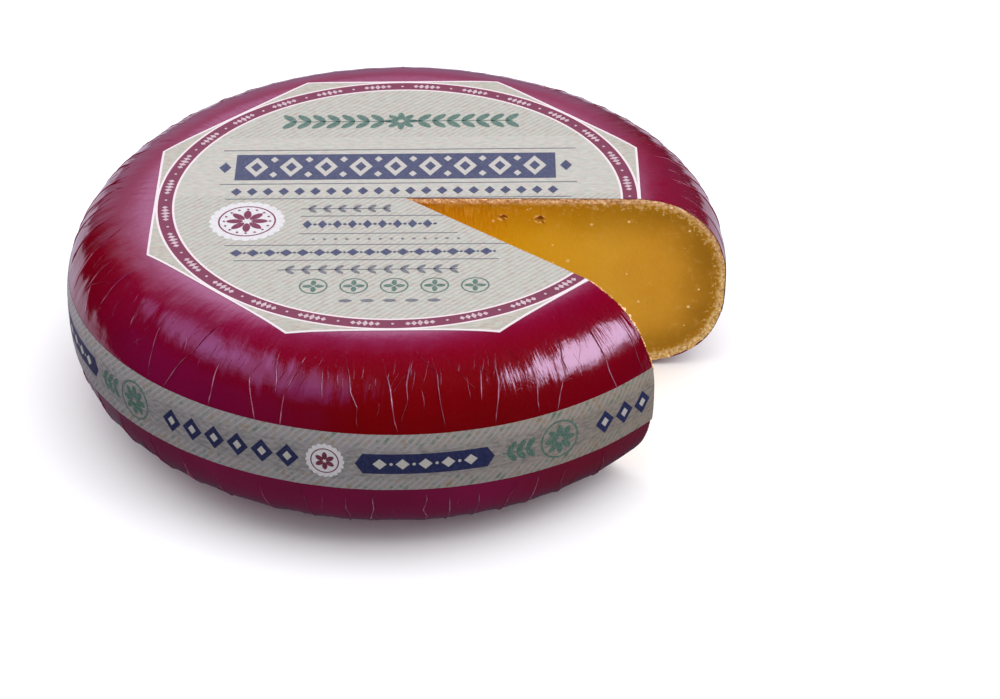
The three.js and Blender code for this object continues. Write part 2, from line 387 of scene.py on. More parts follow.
def maroon_film():
    """Polyvinyl cheese coating, brushed on in layers and drawn tight: a deep maroon body under
    a glossy skin that shows every crease, dulled by fine scuffs, with painted glints along the creases' crests"""
    material, tree, body = finish_of(
        "maroon_cheese_coating",
        **{
            "IOR": 1.5, "Specular Tint": (0.8, 0.65, 1.0, 1.0), "Coat Weight": 1.0, "Coat Roughness": 0.09,
            "Coat IOR": 1.6,
        },
    )
    place = add(tree, "ShaderNodeAttribute", attribute_name="wrap").outputs["Vector"]
    parts = add(tree, "ShaderNodeSeparateXYZ", {0: place})
    tone = add(tree, "ShaderNodeTexNoise", {"Vector": place, "Scale": 1 / 45, "Detail": 3.0})
    # painted sheen and shade: the body is painted bluer by the label, standing for the backdrop's sheen, and darker
    # lower down, painted shade; under the band it is painted violet, a painted reflection of the dim violet
    # surroundings, less so towards the cut's near side
    under_band_sheen_fade = add(
        tree, "ShaderNodeMapRange",
        {"Value": parts.outputs[0], "From Min": 945.0, "From Max": 1000.0, "To Min": 1.0, "To Max": 0.25},
    )
    level = add(tree, "ShaderNodeMath", {0: parts.outputs[1], 1: 300.0}, operation="DIVIDE")
    body_and_sheen_tone = add(
        tree, "ShaderNodeValToRGB", {"Fac": level},
        ((0.485, "#760028"), (0.53, "#720017"), (0.575, "#6e0007"), (0.64, "#690003"), (0.69, "#650004")),
    )
    # painted reflection: away from the front-right the body is mixed towards a bluer tone, the violet sheen of the dim
    # surroundings
    violet_sheen_tone = add(
        tree, "ShaderNodeValToRGB", {"Fac": level},
        ((0.485, "#76002c"), (0.53, "#720028"), (0.575, "#6e0024"), (0.69, "#660026")),
    )
    sideways = add(tree, "ShaderNodeMath", {0: parts.outputs[0], 1: 1200.0}, operation="DIVIDE")
    violet_sheen_share = add(
        tree, "ShaderNodeValToRGB", {"Fac": sideways},
        ((0.55, "#9a9a9a"), (0.6, "#ffffff"), (0.65, "#ffffff"), (0.73, "#000000"), (0.8, "#000000"), (0.88, "#9a9a9a")),
    )
    body_and_sheen_tone = add(tree, "ShaderNodeMix", {"Factor": violet_sheen_share, 6: body_and_sheen_tone, 7: violet_sheen_tone}, data_type="RGBA").outputs[2]
    # painted reflection: below the band the film is mixed to this violet tone, less towards the cut's near side
    under_band_sheen_tone = add(tree, "ShaderNodeValToRGB", {"Fac": tone}, ((0.3, "#69042e"), (0.7, "#720536")))
    low = add(
        tree, "ShaderNodeMapRange",
        {"Value": parts.outputs[1], "From Min": 205.0, "From Max": 236.0, "To Min": 0.0, "To Max": under_band_sheen_fade.outputs[0]},
    )
    colour = add(tree, "ShaderNodeMix", {"Factor": low, 6: body_and_sheen_tone, 7: under_band_sheen_tone}, data_type="RGBA")
    # darker and paler in slow patches, as the layers lie
    layers = add(
        tree, "ShaderNodeMapRange",
        {"Value": tone, "From Min": 0.3, "From Max": 0.7, "To Min": 0.95, "To Max": 1.06},
    )
    colour = add(tree, "ShaderNodeMix", {"Factor": 1.0, 6: colour, 7: layers.outputs[0]}, data_type="RGBA", blend_type="MULTIPLY")
    # painted glint: the creases' crests are painted pale pink
    crest_glint = add(
        tree, "ShaderNodeMapRange",
        {"Value": parts.outputs[2], "From Min": 0.15, "From Max": 0.9, "To Min": 0.0, "To Max": 0.85},
    )
    glinted = add(
        tree, "ShaderNodeMix", {"Factor": crest_glint.outputs[0], 6: colour.outputs[2], 7: paint("#c7839d")},
        data_type="RGBA",
    )
    scuff = add(tree, "ShaderNodeTexNoise", {"Vector": place, "Scale": 1 / 1.6, "Detail": 4.0})
    rough = add(
        tree, "ShaderNodeMapRange",
        {"Value": scuff.outputs["Fac"], "From Min": 0.35, "From Max": 0.7, "To Min": 0.09, "To Max": 0.2},
    )
    pebble = add(tree, "ShaderNodeTexNoise", {"Vector": place, "Scale": 1 / 6.0, "Detail": 3.0})
    tugged = add(tree, "ShaderNodeVectorMath", {0: place, 1: (1 / 3.0, 1 / 15.0, 1.0)}, operation="MULTIPLY")
    tug = add(tree, "ShaderNodeTexNoise", {"Vector": tugged.outputs[0], "Scale": 1.0, "Detail": 3.0})
    # the film is drawn tightest by the cut, where it has fine upright wrinkles
    upright = add(tree, "ShaderNodeVectorMath", {0: place, 1: (1 / 1.7, 1 / 13.0, 1.0)}, operation="MULTIPLY")
    wrinkle = add(tree, "ShaderNodeTexNoise", {"Vector": upright.outputs[0], "Scale": 1.0, "Detail": 2.0})
    drawn = add(
        tree, "ShaderNodeMapRange",
        {"Value": parts.outputs[0], "From Min": 900.0, "From Max": 1030.0, "To Min": 0.12, "To Max": 1.5},
    )
    relief = pebble
    for noise, amount in ((tug, 0.7), (wrinkle, drawn)):
        relief = add(tree, "ShaderNodeMath", {0: noise, 1: amount, 2: relief}, operation="MULTIPLY_ADD")
    bump = add(tree, "ShaderNodeBump", {"Height": relief.outputs[0], "Distance": 0.16 * MM, "Strength": 1.0})
    tree.links.new(glinted.outputs[2], body.inputs["Base Color"])
    tree.links.new(rough.outputs["Result"], body.inputs["Roughness"])
    tree.links.new(bump.outputs[0], body.inputs["Normal"])
    tree.links.new(bump.outputs[0], body.inputs["Coat Normal"])
    return material


def gouda_paste():
    """Aged gouda cut with a knife: a dense golden paste, painted lighter and more orange by the tip of the cut as light
    against the notch's shade, olive under the rind, torn a little where the knife dragged, its eyes painted darker
    inside as shade, with white crystals, and a dry crumbly rind."""
    material, tree, body = finish_of("aged_gouda", **{"IOR": 1.45, "Specular IOR Level": 0.2})
    cut, torn = (
        add(tree, "ShaderNodeAttribute", attribute_name=name).outputs["Vector"] for name in ("cut", "torn")
    )
    parts, torn_parts = (add(tree, "ShaderNodeSeparateXYZ", {0: vector}) for vector in (cut, torn))
    out, up, depth = parts.outputs
    millimetres = {0: add(tree, "ShaderNodeTexCoord").outputs["Object"], 1: (1000.0,) * 3}
    place = add(tree, "ShaderNodeVectorMath", millimetres, operation="MULTIPLY")
    dragged = add(tree, "ShaderNodeVectorMath", {0: cut, 1: (1 / 1.3, 1 / 9.0, 0.0)}, operation="MULTIPLY")
    mottle, blotch, fleck, grain, tear = (
        add(tree, "ShaderNodeTexNoise", {"Vector": where, "Scale": 1 / size, "Detail": detail, "Roughness": rough})
        for where, size, detail, rough in (
            (place, 16.0, 4.0, 0.5), (place, 5.0, 5.0, 0.6), (place, 2.1, 3.0, 0.6), (place, 1.4, 5.0, 0.6),
            (dragged, 1.0, 3.0, 0.5),
        )
    )
    # lengths in millimetres that set where each tone lies, roughened by the noises
    along, blurred, powder, border = (
        add(tree, "ShaderNodeMath", {0: noise, 1: reach, 2: length}, operation="MULTIPLY_ADD")
        for noise, reach, length in ((mottle, 34.0, out), (mottle, 14.0, depth), (fleck, -36.0, depth), (blotch, 4.0, depth))
    )
    border = add(tree, "ShaderNodeMath", {0: grain, 1: 2.6, 2: border}, operation="MULTIPLY_ADD")
    # the rind is thicker low down
    thicker = add(tree, "ShaderNodeMapRange", {"Value": up, "From Min": 10.0, "From Max": 60.0, "To Min": 2.4, "To Max": 0.0})
    border = add(tree, "ShaderNodeMath", {0: border, 1: thicker}, operation="SUBTRACT")
    share = add(tree, "ShaderNodeMath", {0: along, 1: 200.0}, operation="DIVIDE")
    # painted light: the heart tone is lighter and more orange towards the tip, offsetting the shade deep in the notch
    heart, ripe, top_rind, low_rind = (
        add(tree, "ShaderNodeValToRGB", {"Fac": value}, stops)
        for value, stops in (
            (share, ((0.12, "#f3b400"), (0.4, "#e3b117"), (0.65, "#dda92f"), (0.8, "#d69b25"), (0.95, "#cf9324"))),
            (share, ((0.12, "#d69200"), (0.4, "#c48800"), (0.66, "#ad7800"), (0.85, "#9b6a00"))),
            (grain, ((0.32, "#ae7640"), (0.48, "#e5ae74"), (0.66, "#fce4c0"))),
            (grain, ((0.32, "#a17638"), (0.48, "#d3a55e"), (0.66, "#f3dca2"))),
        )
    )
    # the rind is yellower down the side and pinker on top
    high = add(tree, "ShaderNodeMapRange", {"Value": up, "From Min": 62.0, "From Max": 98.0, "To Min": 0.0, "To Max": 1.0})
    rind = add(tree, "ShaderNodeMix", {"Factor": high, 6: low_rind, 7: top_rind}, data_type="RGBA").outputs[2]
    # crystals: a soft pale dot in some cells of a 7 mm mesh
    cells = add(tree, "ShaderNodeTexVoronoi", {"Vector": place, "Scale": 1 / 7.0, "Randomness": 1.0})
    chosen = add(tree, "ShaderNodeSeparateColor", {0: cells.outputs["Color"]})
    size = add(tree, "ShaderNodeMapRange", {"Value": chosen, "From Min": 0.3, "To Min": 0.0, "To Max": 0.165})
    past = add(tree, "ShaderNodeMath", {0: cells.outputs["Distance"], 1: size}, operation="SUBTRACT")
    near_tip, near_top = (
        add(
            tree, "ShaderNodeMapRange", {"Value": value, "From Min": low, "From Max": high, "To Min": start, "To Max": end},
            interpolation_type="SMOOTHSTEP",
        )
        for value, low, high, start, end in ((out, 34.0, 74.0, 1.0, 0.0), (up, 74.0, 98.0, 0.0, 1.0))
    )
    by_tip = add(tree, "ShaderNodeMath", {0: near_tip, 1: near_top}, operation="MULTIPLY")

    # the tones laid over each other: along which value, from where to where, how strong at both
    # ends, in which part of the cut, and the tone
    paste = heart
    for value, low, high, start, end, where, tone in (
        (blurred, 8.0, 42.0, 1.0, 0.0, 1.0, ripe),
        (blotch, 0.52, 0.72, 0.0, 0.28, 1.0, paint("#dcaa4e")),
        (border, 6.0, 12.0, 0.7, 0.0, 1.0, paint("#b47c04")),
        (tear, 0.53, 0.66, 0.0, 0.35, by_tip, paint("#f6b650")),
        (tear, 0.47, 0.34, 0.0, 0.45, by_tip, paint("#b86200")),
        (powder, -16.5, -13.0, 0.7, 0.0, add(
            tree, "ShaderNodeMapRange",
            {"Value": out, "From Min": 70.0, "From Max": 130.0, "To Min": 0.3, "To Max": 1.0},
        ), paint("#dcb570")),
        (past, -0.06, 0.025, 0.85, 0.0, 1.0, paint("#f6da92")),
        (border, 4.8, 7.2, 1.0, 0.0, 1.0, rind),
        (torn_parts.outputs[0], 0.0, 1.0, 0.0, 1.0, 1.0, paint("#ffcb85")),
        # painted shade: the eyes' hollows are painted darker
        (torn_parts.outputs[1], 0.0, 1.0, 0.0, 1.0, 1.0, paint("#9c5410")),
    ):
        amount = add(
            tree, "ShaderNodeMapRange", {"Value": value, "From Min": low, "From Max": high, "To Min": start, "To Max": end},
            interpolation_type="SMOOTHSTEP",
        )
        amount = add(tree, "ShaderNodeMath", {0: amount, 1: where}, operation="MULTIPLY")
        paste = add(tree, "ShaderNodeMix", {"Factor": amount, 6: paste, 7: tone}, data_type="RGBA")

    rough = add(
        tree, "ShaderNodeMapRange", {"Value": border, "From Min": 4.8, "From Max": 7.2, "To Min": 0.85, "To Max": 0.48},
    )
    relief = add(tree, "ShaderNodeMath", {0: tear, 1: by_tip, 2: grain}, operation="MULTIPLY_ADD")
    bump = add(tree, "ShaderNodeBump", {"Height": relief, "Distance": 0.22 * MM, "Strength": 1.0})
    tree.links.new(paste.outputs[2], body.inputs["Base Color"])
    tree.links.new(rough.outputs[0], body.inputs["Roughness"])
    tree.links.new(bump.outputs[0], body.inputs["Normal"])
    return material


def flecked(tree, place, pale, deep, size):
    """The fibre flecks of recycled paper, in two tones, as long as they are in the sheet."""
    stretched = add(tree, "ShaderNodeMapping", {"Vector": place, "Rotation": (0, 0, math.radians(-35)), "Scale": (1 / (3 * size), 1 / size, 1.0)})
    fleck = add(tree, "ShaderNodeTexNoise", {"Vector": stretched.outputs[0], "Scale": 1.0, "Detail": 4.0, "Roughness": 0.65})
    tone = add(tree, "ShaderNodeValToRGB", {"Fac": fleck}, ((0.36, deep), (0.62, pale)))
    return tone.outputs[0], fleck.outputs["Fac"]


def label_paper():
    """Uncoated recycled label paper, printed with pinstripes, a maroon ring and pale lines, and
    sealed under the clear last layer of the coating, which gives it a soft gloss."""
    material, tree, body = finish_of("printed_label_paper", **{"IOR": 1.5, "Coat Weight": 0.25, "Coat Roughness": 0.3})
    place = add(tree, "ShaderNodeVectorMath", {0: add(tree, "ShaderNodeTexCoord").outputs["Object"], 1: (1000.0, 1000.0, 0.0)}, operation="MULTIPLY")
    local = add(tree, "ShaderNodeVectorMath", {0: place.outputs[0], 1: (*LABEL_CENTRE, 0.0)}, operation="SUBTRACT").outputs[0]
    away = add(tree, "ShaderNodeVectorMath", {0: local}, operation="LENGTH").outputs["Value"]
    kraft, fleck = flecked(tree, local, "#aba89f", "#979389", 1.6)
    # pinstripes at 45 degrees, one each 3.1 mm
    slant = add(tree, "ShaderNodeVectorMath", {0: local, 1: (math.sqrt(0.5), -math.sqrt(0.5), 0.0)}, operation="DOT_PRODUCT")
    turn = add(tree, "ShaderNodeMath", {0: slant.outputs["Value"], 1: 2 * math.pi / 3.1}, operation="MULTIPLY")
    wave = add(tree, "ShaderNodeMath", {0: turn.outputs[0]}, operation="SINE")
    line = add(tree, "ShaderNodeMapRange", {"Value": wave.outputs[0], "From Min": -0.4, "From Max": 0.8, "To Min": 0.0, "To Max": 1.0})
    fading = add(tree, "ShaderNodeTexNoise", {"Vector": local, "Scale": 1 / 5.0, "Detail": 4.0, "Roughness": 0.6})
    strength = add(tree, "ShaderNodeMapRange", {"Value": fading, "From Min": 0.35, "From Max": 0.65, "To Min": 0.35, "To Max": 1.0})
    worn = add(tree, "ShaderNodeMath", {0: line, 1: strength}, operation="MULTIPLY")
    stripe_colour, _ = flecked(tree, local, "#9a998f", "#8a887f", 1.2)
    pale_colour, _ = flecked(tree, local, "#afada7", "#a09e97", 1.8)
    striped = add(tree, "ShaderNodeMix", {"Factor": worn.outputs[0], 6: pale_colour, 7: stripe_colour}, data_type="RGBA")
    # a plain pale band across the field
    rise = add(tree, "ShaderNodeSeparateXYZ", {0: local}).outputs[1]
    below = add(tree, "ShaderNodeMath", {0: rise, 1: 4.0}, operation="GREATER_THAN")
    above = add(tree, "ShaderNodeMath", {0: rise, 1: 70.0}, operation="LESS_THAN")
    plain = add(tree, "ShaderNodeMath", {0: below.outputs[0], 1: above.outputs[0]}, operation="MULTIPLY")
    field = add(tree, "ShaderNodeMix", {"Factor": plain.outputs[0], 6: striped.outputs[2], 7: pale_colour}, data_type="RGBA")
    # the ring, and the white lines beside it
    share = add(tree, "ShaderNodeMath", {0: away, 1: 160.0}, operation="DIVIDE").outputs[0]
    ring, on_ring = (
        add(tree, "ShaderNodeValToRGB", {"Fac": share}, stops)
        for stops in (
            ((0.0, "#000000"), (125.7 / 160, "#d0c4c9"), (126.9 / 160, "#6e263f"), (135.6 / 160, "#d0c4c9")),
            ((0.0, "#000000"), (125.7 / 160, "#ffffff"), (136.8 / 160, "#000000")),
        )
    )
    ring.color_ramp.interpolation = on_ring.color_ramp.interpolation = "CONSTANT"
    outside = add(tree, "ShaderNodeMath", {0: away, 1: 137.0}, operation="GREATER_THAN")
    with_corners = add(tree, "ShaderNodeMix", {"Factor": outside.outputs[0], 6: field.outputs[2], 7: kraft}, data_type="RGBA")
    with_ring = add(tree, "ShaderNodeMix", {"Factor": on_ring, 6: with_corners.outputs[2], 7: ring}, data_type="RGBA")
    # the white line along the sheet's eight edges
    reach = None
    for k in range(4):
        facing = (math.cos(k * math.pi / 4), math.sin(k * math.pi / 4), 0.0)
        side = add(tree, "ShaderNodeVectorMath", {0: local, 1: facing}, operation="DOT_PRODUCT")
        size = add(tree, "ShaderNodeMath", {0: side.outputs["Value"]}, operation="ABSOLUTE").outputs[0]
        reach = size if reach is None else add(tree, "ShaderNodeMath", {0: reach, 1: size}, operation="MAXIMUM").outputs[0]
    rim = add(tree, "ShaderNodeMath", {0: reach, 1: LABEL_APOTHEM - 1.3}, operation="GREATER_THAN")
    # the recycled pulp is a little greener here and browner there
    pulp = add(tree, "ShaderNodeValToRGB", {"Fac": fading}, ((0.36, "#f5fff7"), (0.5, "#fffefc"), (0.64, "#fff8f2")))
    tinted = add(tree, "ShaderNodeMix", {"Factor": 1.0, 6: with_ring, 7: pulp}, data_type="RGBA", blend_type="MULTIPLY")
    final = add(tree, "ShaderNodeMix", {"Factor": rim.outputs[0], 6: tinted.outputs[2], 7: paint("#cfc4c8")}, data_type="RGBA")
    bump = add(tree, "ShaderNodeBump", {"Height": fleck, "Distance": 0.05 * MM, "Strength": 1.0})
    tree.links.new(final.outputs[2], body.inputs["Base Color"])
    tree.links.new(bump.outputs[0], body.inputs["Normal"])
    body.inputs["Roughness"].default_value = 0.55
    return material


def band_paper():
    """Recycled kraft paper band under the same clear layer: grey, mottled with green and tan,
    with worn pinstripes above and below a plainer strip."""
    material, tree, body = finish_of("kraft_band_paper", **{"IOR": 1.5, "Coat Weight": 0.8, "Coat Roughness": 0.22, "Roughness": 0.6})
    place = add(tree, "ShaderNodeAttribute", attribute_name="wrap").outputs["Vector"]
    kraft, fleck = flecked(tree, place, "#918d8c", "#6b6768", 1.8)
    tint = add(tree, "ShaderNodeTexNoise", {"Vector": place, "Scale": 1 / 5.5, "Detail": 4.0, "Roughness": 0.65})
    mottle = add(
        tree, "ShaderNodeValToRGB", {"Fac": tint},
        ((0.34, "#7f7055"), (0.43, "#8c837c"), (0.52, "#8d888d"), (0.6, "#6f796c"), (0.68, "#53695a")),
    )
    slant = add(tree, "ShaderNodeVectorMath", {0: place, 1: (math.sqrt(0.5), math.sqrt(0.5), 0.0)}, operation="DOT_PRODUCT")
    turn = add(tree, "ShaderNodeMath", {0: slant.outputs["Value"], 1: 2 * math.pi / 3.1}, operation="MULTIPLY")
    wave = add(tree, "ShaderNodeMath", {0: turn.outputs[0]}, operation="SINE")
    worn = add(tree, "ShaderNodeMath", {0: wave.outputs[0], 1: tint.outputs["Fac"]}, operation="MULTIPLY")
    line = add(tree, "ShaderNodeMapRange", {"Value": worn.outputs[0], "From Min": 0.05, "From Max": 0.45, "To Min": 0.0, "To Max": 0.75})
    height = add(tree, "ShaderNodeAttribute", attribute_name="across").outputs["Vector"]
    from_middle = add(tree, "ShaderNodeMath", {0: add(tree, "ShaderNodeSeparateXYZ", {0: height}).outputs[0]}, operation="ABSOLUTE")
    outer = add(tree, "ShaderNodeMapRange", {"Value": from_middle.outputs[0], "From Min": 8.0, "From Max": 11.0, "To Min": 0.15, "To Max": 0.85})
    mottled = add(tree, "ShaderNodeMix", {"Factor": outer.outputs[0], 6: kraft, 7: mottle}, data_type="RGBA")
    lined = add(tree, "ShaderNodeMath", {0: line.outputs[0], 1: outer.outputs[0]}, operation="MULTIPLY")
    final = add(tree, "ShaderNodeMix", {"Factor": lined.outputs[0], 6: mottled.outputs[2], 7: paint("#9d9a98")}, data_type="RGBA")
    # painted shade: the sheet is painted darker and warmer towards the cut's near side
    run = add(tree, "ShaderNodeSeparateXYZ", {0: place}).outputs[0]
    near_side_shade = add(tree, "ShaderNodeMapRange", {"Value": run, "From Min": 880.0, "From Max": 1020.0, "To Min": 0.0, "To Max": 1.0})
    final = add(
        tree, "ShaderNodeMix", {"Factor": near_side_shade, 6: final.outputs[2], 7: paint("#f3ead9")},
        data_type="RGBA", blend_type="MULTIPLY",
    )
    bump = add(tree, "ShaderNodeBump", {"Height": fleck, "Distance": 0.06 * MM, "Strength": 1.0})
    tree.links.new(final.outputs[2], body.inputs["Base Color"])
    tree.links.new(bump.outputs[0], body.inputs["Normal"])
    return material


def printing_ink(name, full, thin):
    """Offset ink on rough paper: the full tone, worn thin where the paper's fibres stand up."""
    material, tree, body = finish_of(name, **{"IOR": 1.5, "Coat Weight": 0.25, "Coat Roughness": 0.3, "Roughness": 0.55})
    place = add(tree, "ShaderNodeVectorMath", {0: add(tree, "ShaderNodeTexCoord").outputs["Object"], 1: (1000.0,) * 3}, operation="MULTIPLY")
    fibre = add(tree, "ShaderNodeTexNoise", {"Vector": place.outputs[0], "Scale": 1 / 1.3, "Detail": 5.0, "Roughness": 0.7})
    tone = add(tree, "ShaderNodeValToRGB", {"Fac": fibre}, ((0.45, full), (0.72, thin)))
    tree.links.new(tone.outputs[0], body.inputs["Base Color"])
    return material


FILM = maroon_film()
PASTE = gouda_paste()
LABEL_PAPER = label_paper()
BAND_PAPER = band_paper()
NAVY = printing_ink("navy_ink_on_label", "#333b55", "#52596e")
DEEP_NAVY = printing_ink("navy_ink_on_band", "#131c4a", "#2c3462")
GREEN = printing_ink("grey_green_ink", "#406154", "#6b8073")
GREY = printing_ink("grey_ink", "#5b5e63", "#797a7e")
WHITE = printing_ink("white_ink", "#c4c2c5", "#aeaba9")
PALE = printing_ink("paper_coloured_ink", "#aca9a3", "#9c9992")
MAROON = printing_ink("maroon_ink", "#661a34", "#7f3c50")
BLUSH = printing_ink("pale_rose_ink", "#b7a3a9", "#9d7e89")


# the coat

def coat():
    """The coat as a closed shell: a fine grid outside, a coarse one inside, joined at the cut,
    where the knife left its edge nibbled."""
    top_shares = (0.45, 0.75, 0.88, 0.93, 0.965)
    base_shares = (0.96, 0.75, 0.4)
    side_downs = np.append(np.arange(TOP_EDGE, BASE_EDGE, 2.5), BASE_EDGE)

    def shell(lift, downs, directions):
        rows, wraps = [], []
        for kind, value in (
            *(("top", share) for share in top_shares), *(("side", down) for down in downs),
            *(("base", share) for share in base_shares),
        ):
            down = {"top": TOP_EDGE, "base": BASE_EDGE}.get(kind, value)
            nibble = ragged(down, 1) * np.exp(-((directions - FAR_FACE) * WHEEL_RADIUS / 3) ** 2)
            past = 2 * math.pi + NEAR_FACE - directions
            nibble -= ragged(down, 2) * np.exp(-((past * WHEEL_RADIUS / 3) ** 2))
            turned = directions + nibble / WHEEL_RADIUS
            x, y, distance = out_from_tip(turned, float(np.interp(down, DOWN, RADII)))
            if kind != "side":
                x = CUT_TIP[0] + value * distance * np.cos(turned)
                y = CUT_TIP[1] + value * distance * np.sin(turned)
            angle = unwrap(np.arctan2(y, x))
            along = np.hypot(x, y) / out_of_round(angle)
            place = {"top": along, "base": DOWN[-1] - along}.get(kind, np.full_like(x, down))
            rows.append(skin(angle, place, lift))
            wraps.append(np.stack([angle * WHEEL_RADIUS, place, 0 * place], -1))
        return rows, wraps

    outer_ways = np.linspace(FAR_FACE, 2 * math.pi + NEAR_FACE, 1033)
    inner_ways = outer_ways[::4]
    outer, outer_wraps = shell(0.0, side_downs, outer_ways)
    inner, inner_wraps = shell(-FILM_THICKNESS, side_downs[::5], inner_ways)
    levels = (WHEEL_HEIGHT - 0.04, 0.04, FILM_THICKNESS + 0.04, WHEEL_HEIGHT - FILM_THICKNESS - 0.04)
    points = np.vstack(outer + inner + [[[*CUT_TIP, z] for z in levels]])
    wraps = np.vstack(outer_wraps + inner_wraps + [np.zeros((4, 3))])
    rows_out, rows_in, across, within = len(outer), len(inner), len(outer_ways), len(inner_ways)
    first_in = rows_out * across
    tip = first_in + rows_in * within
    faces = grid_faces(rows_out, across) + grid_faces(rows_in, within, first_in, flip=True)
    for j in range(across - 1):
        last = (rows_out - 1) * across + j
        faces += [(tip, j, j + 1), (tip + 1, last + 1, last)]
    for j in range(within - 1):
        last = first_in + (rows_in - 1) * within + j
        faces += [(tip + 3, first_in + j + 1, first_in + j), (tip + 2, last, last + 1)]
    for end_out, end_in, turned in ((0, 0, False), (across - 1, within - 1, True)):
        rim_out = [tip] + [i * across + end_out for i in range(rows_out)] + [tip + 1]
        rim_in = [tip + 3] + [first_in + i * within + end_in for i in range(rows_in)] + [tip + 2]
        faces += [face if turned else face[::-1] for face in zipped(rim_out, rim_in, points)]
    piece = piece_from("coat", points, faces, FILM, {"wrap": wraps})
    piece.data.set_sharp_from_angle(angle=math.radians(40))
    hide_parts("coating")
    return piece


def ragged(down, seed):
    """How far the film's edge is nibbled back from the cut, down the outline: not at all under
    the label, and in small bites on the shoulder and the side."""
    bite = soft_noise(np.array(down / 2.6), np.array(seed * 3.7), 21)
    long_bite = soft_noise(np.array(down / 9.0), np.array(seed * 5.1), 22)
    size = 1.9 * np.clip(bite - 0.45, 0, 1) + 0.9 * np.clip(long_bite - 0.4, 0, 1)
    return float(size * step(143, 150, down) * (1 - step(316, 328, down)))


def zipped(one, other, points):
    """Triangles that close the strip between two lines of points with unlike counts."""
    def shares(line):
        path = points[line]
        length = np.concatenate([[0], np.cumsum(np.linalg.norm(np.diff(path, axis=0), axis=1))])
        return length / length[-1]

    a, b = shares(one), shares(other)
    i = j = 0
    faces = []
    while i < len(one) - 1 or j < len(other) - 1:
        if j == len(other) - 1 or (i < len(one) - 1 and a[i + 1] <= b[j + 1]):
            faces.append((one[i], one[i + 1], other[j]))
            i += 1
        else:
            faces.append((one[i], other[j + 1], other[j]))
            j += 1
    return faces


def fold_ridges(name, folds, material, lift=0.0, tall=1.0):
    """Each fold as a closed low ridge that leans over to one side, thin at both ends."""
    section = ((-1.0, -0.4), (-0.42, 0.5), (-0.05, 1.0), (0.22, 0.7), (0.7, -0.4))
    size = len(section)
    points, wraps, faces, first = [], [], [], 0
    for fold in folds:
        count = max(6, int((fold.end - fold.start) / 1.1))
        share = np.linspace(0, 1, count)
        down = fold.start + share * (fold.end - fold.start)
        side = fold.side_at(down)
        girth = np.interp(down, DOWN, RADII) / WHEEL_RADIUS
        run = np.stack([np.gradient(side) * girth, np.gradient(down)], 1)
        run /= np.linalg.norm(run, axis=1)[:, None]
        uneven = 0.55 + 0.75 * np.interp(down, fold.start + 2.6 * np.arange(64), fold.rough)
        taper = np.minimum(step(0, 0.25, share), step(0, 0.25, 1 - share)) * uneven
        for across, up in section:
            offset = across * fold.hand * fold.width / 2 * (0.4 + 0.6 * taper)
            at_side, at_down = side + run[:, 1] * offset / girth, down - run[:, 0] * offset
            rise = lift + np.where(up < 0, -0.1, up * fold.height * tall * taper)
            points.append(skin(at_side / WHEEL_RADIUS, at_down, rise))
            # painted glint: how pale the crest is painted, only from down 166–184 on
            pale = max(up, 0) * taper * fold.pale * step(166, 184, down)
            wraps.append(np.stack([at_side, at_down, pale], -1))
        ring = first + np.arange(size) * count
        for k in range(size):
            a, b = ring[k], ring[(k + 1) % size]
            quads = [(a + i, a + i + 1, b + i + 1, b + i) for i in range(count - 1)]
            faces += quads if fold.hand > 0 else [quad[::-1] for quad in quads]
        start, end = tuple(ring), tuple(ring + count - 1)
        faces += [start, end[::-1]] if fold.hand > 0 else [start[::-1], end]
        first += size * count
    return piece_from(name, np.vstack(points), faces, material, {"wrap": np.vstack(wraps)})


# the cheese

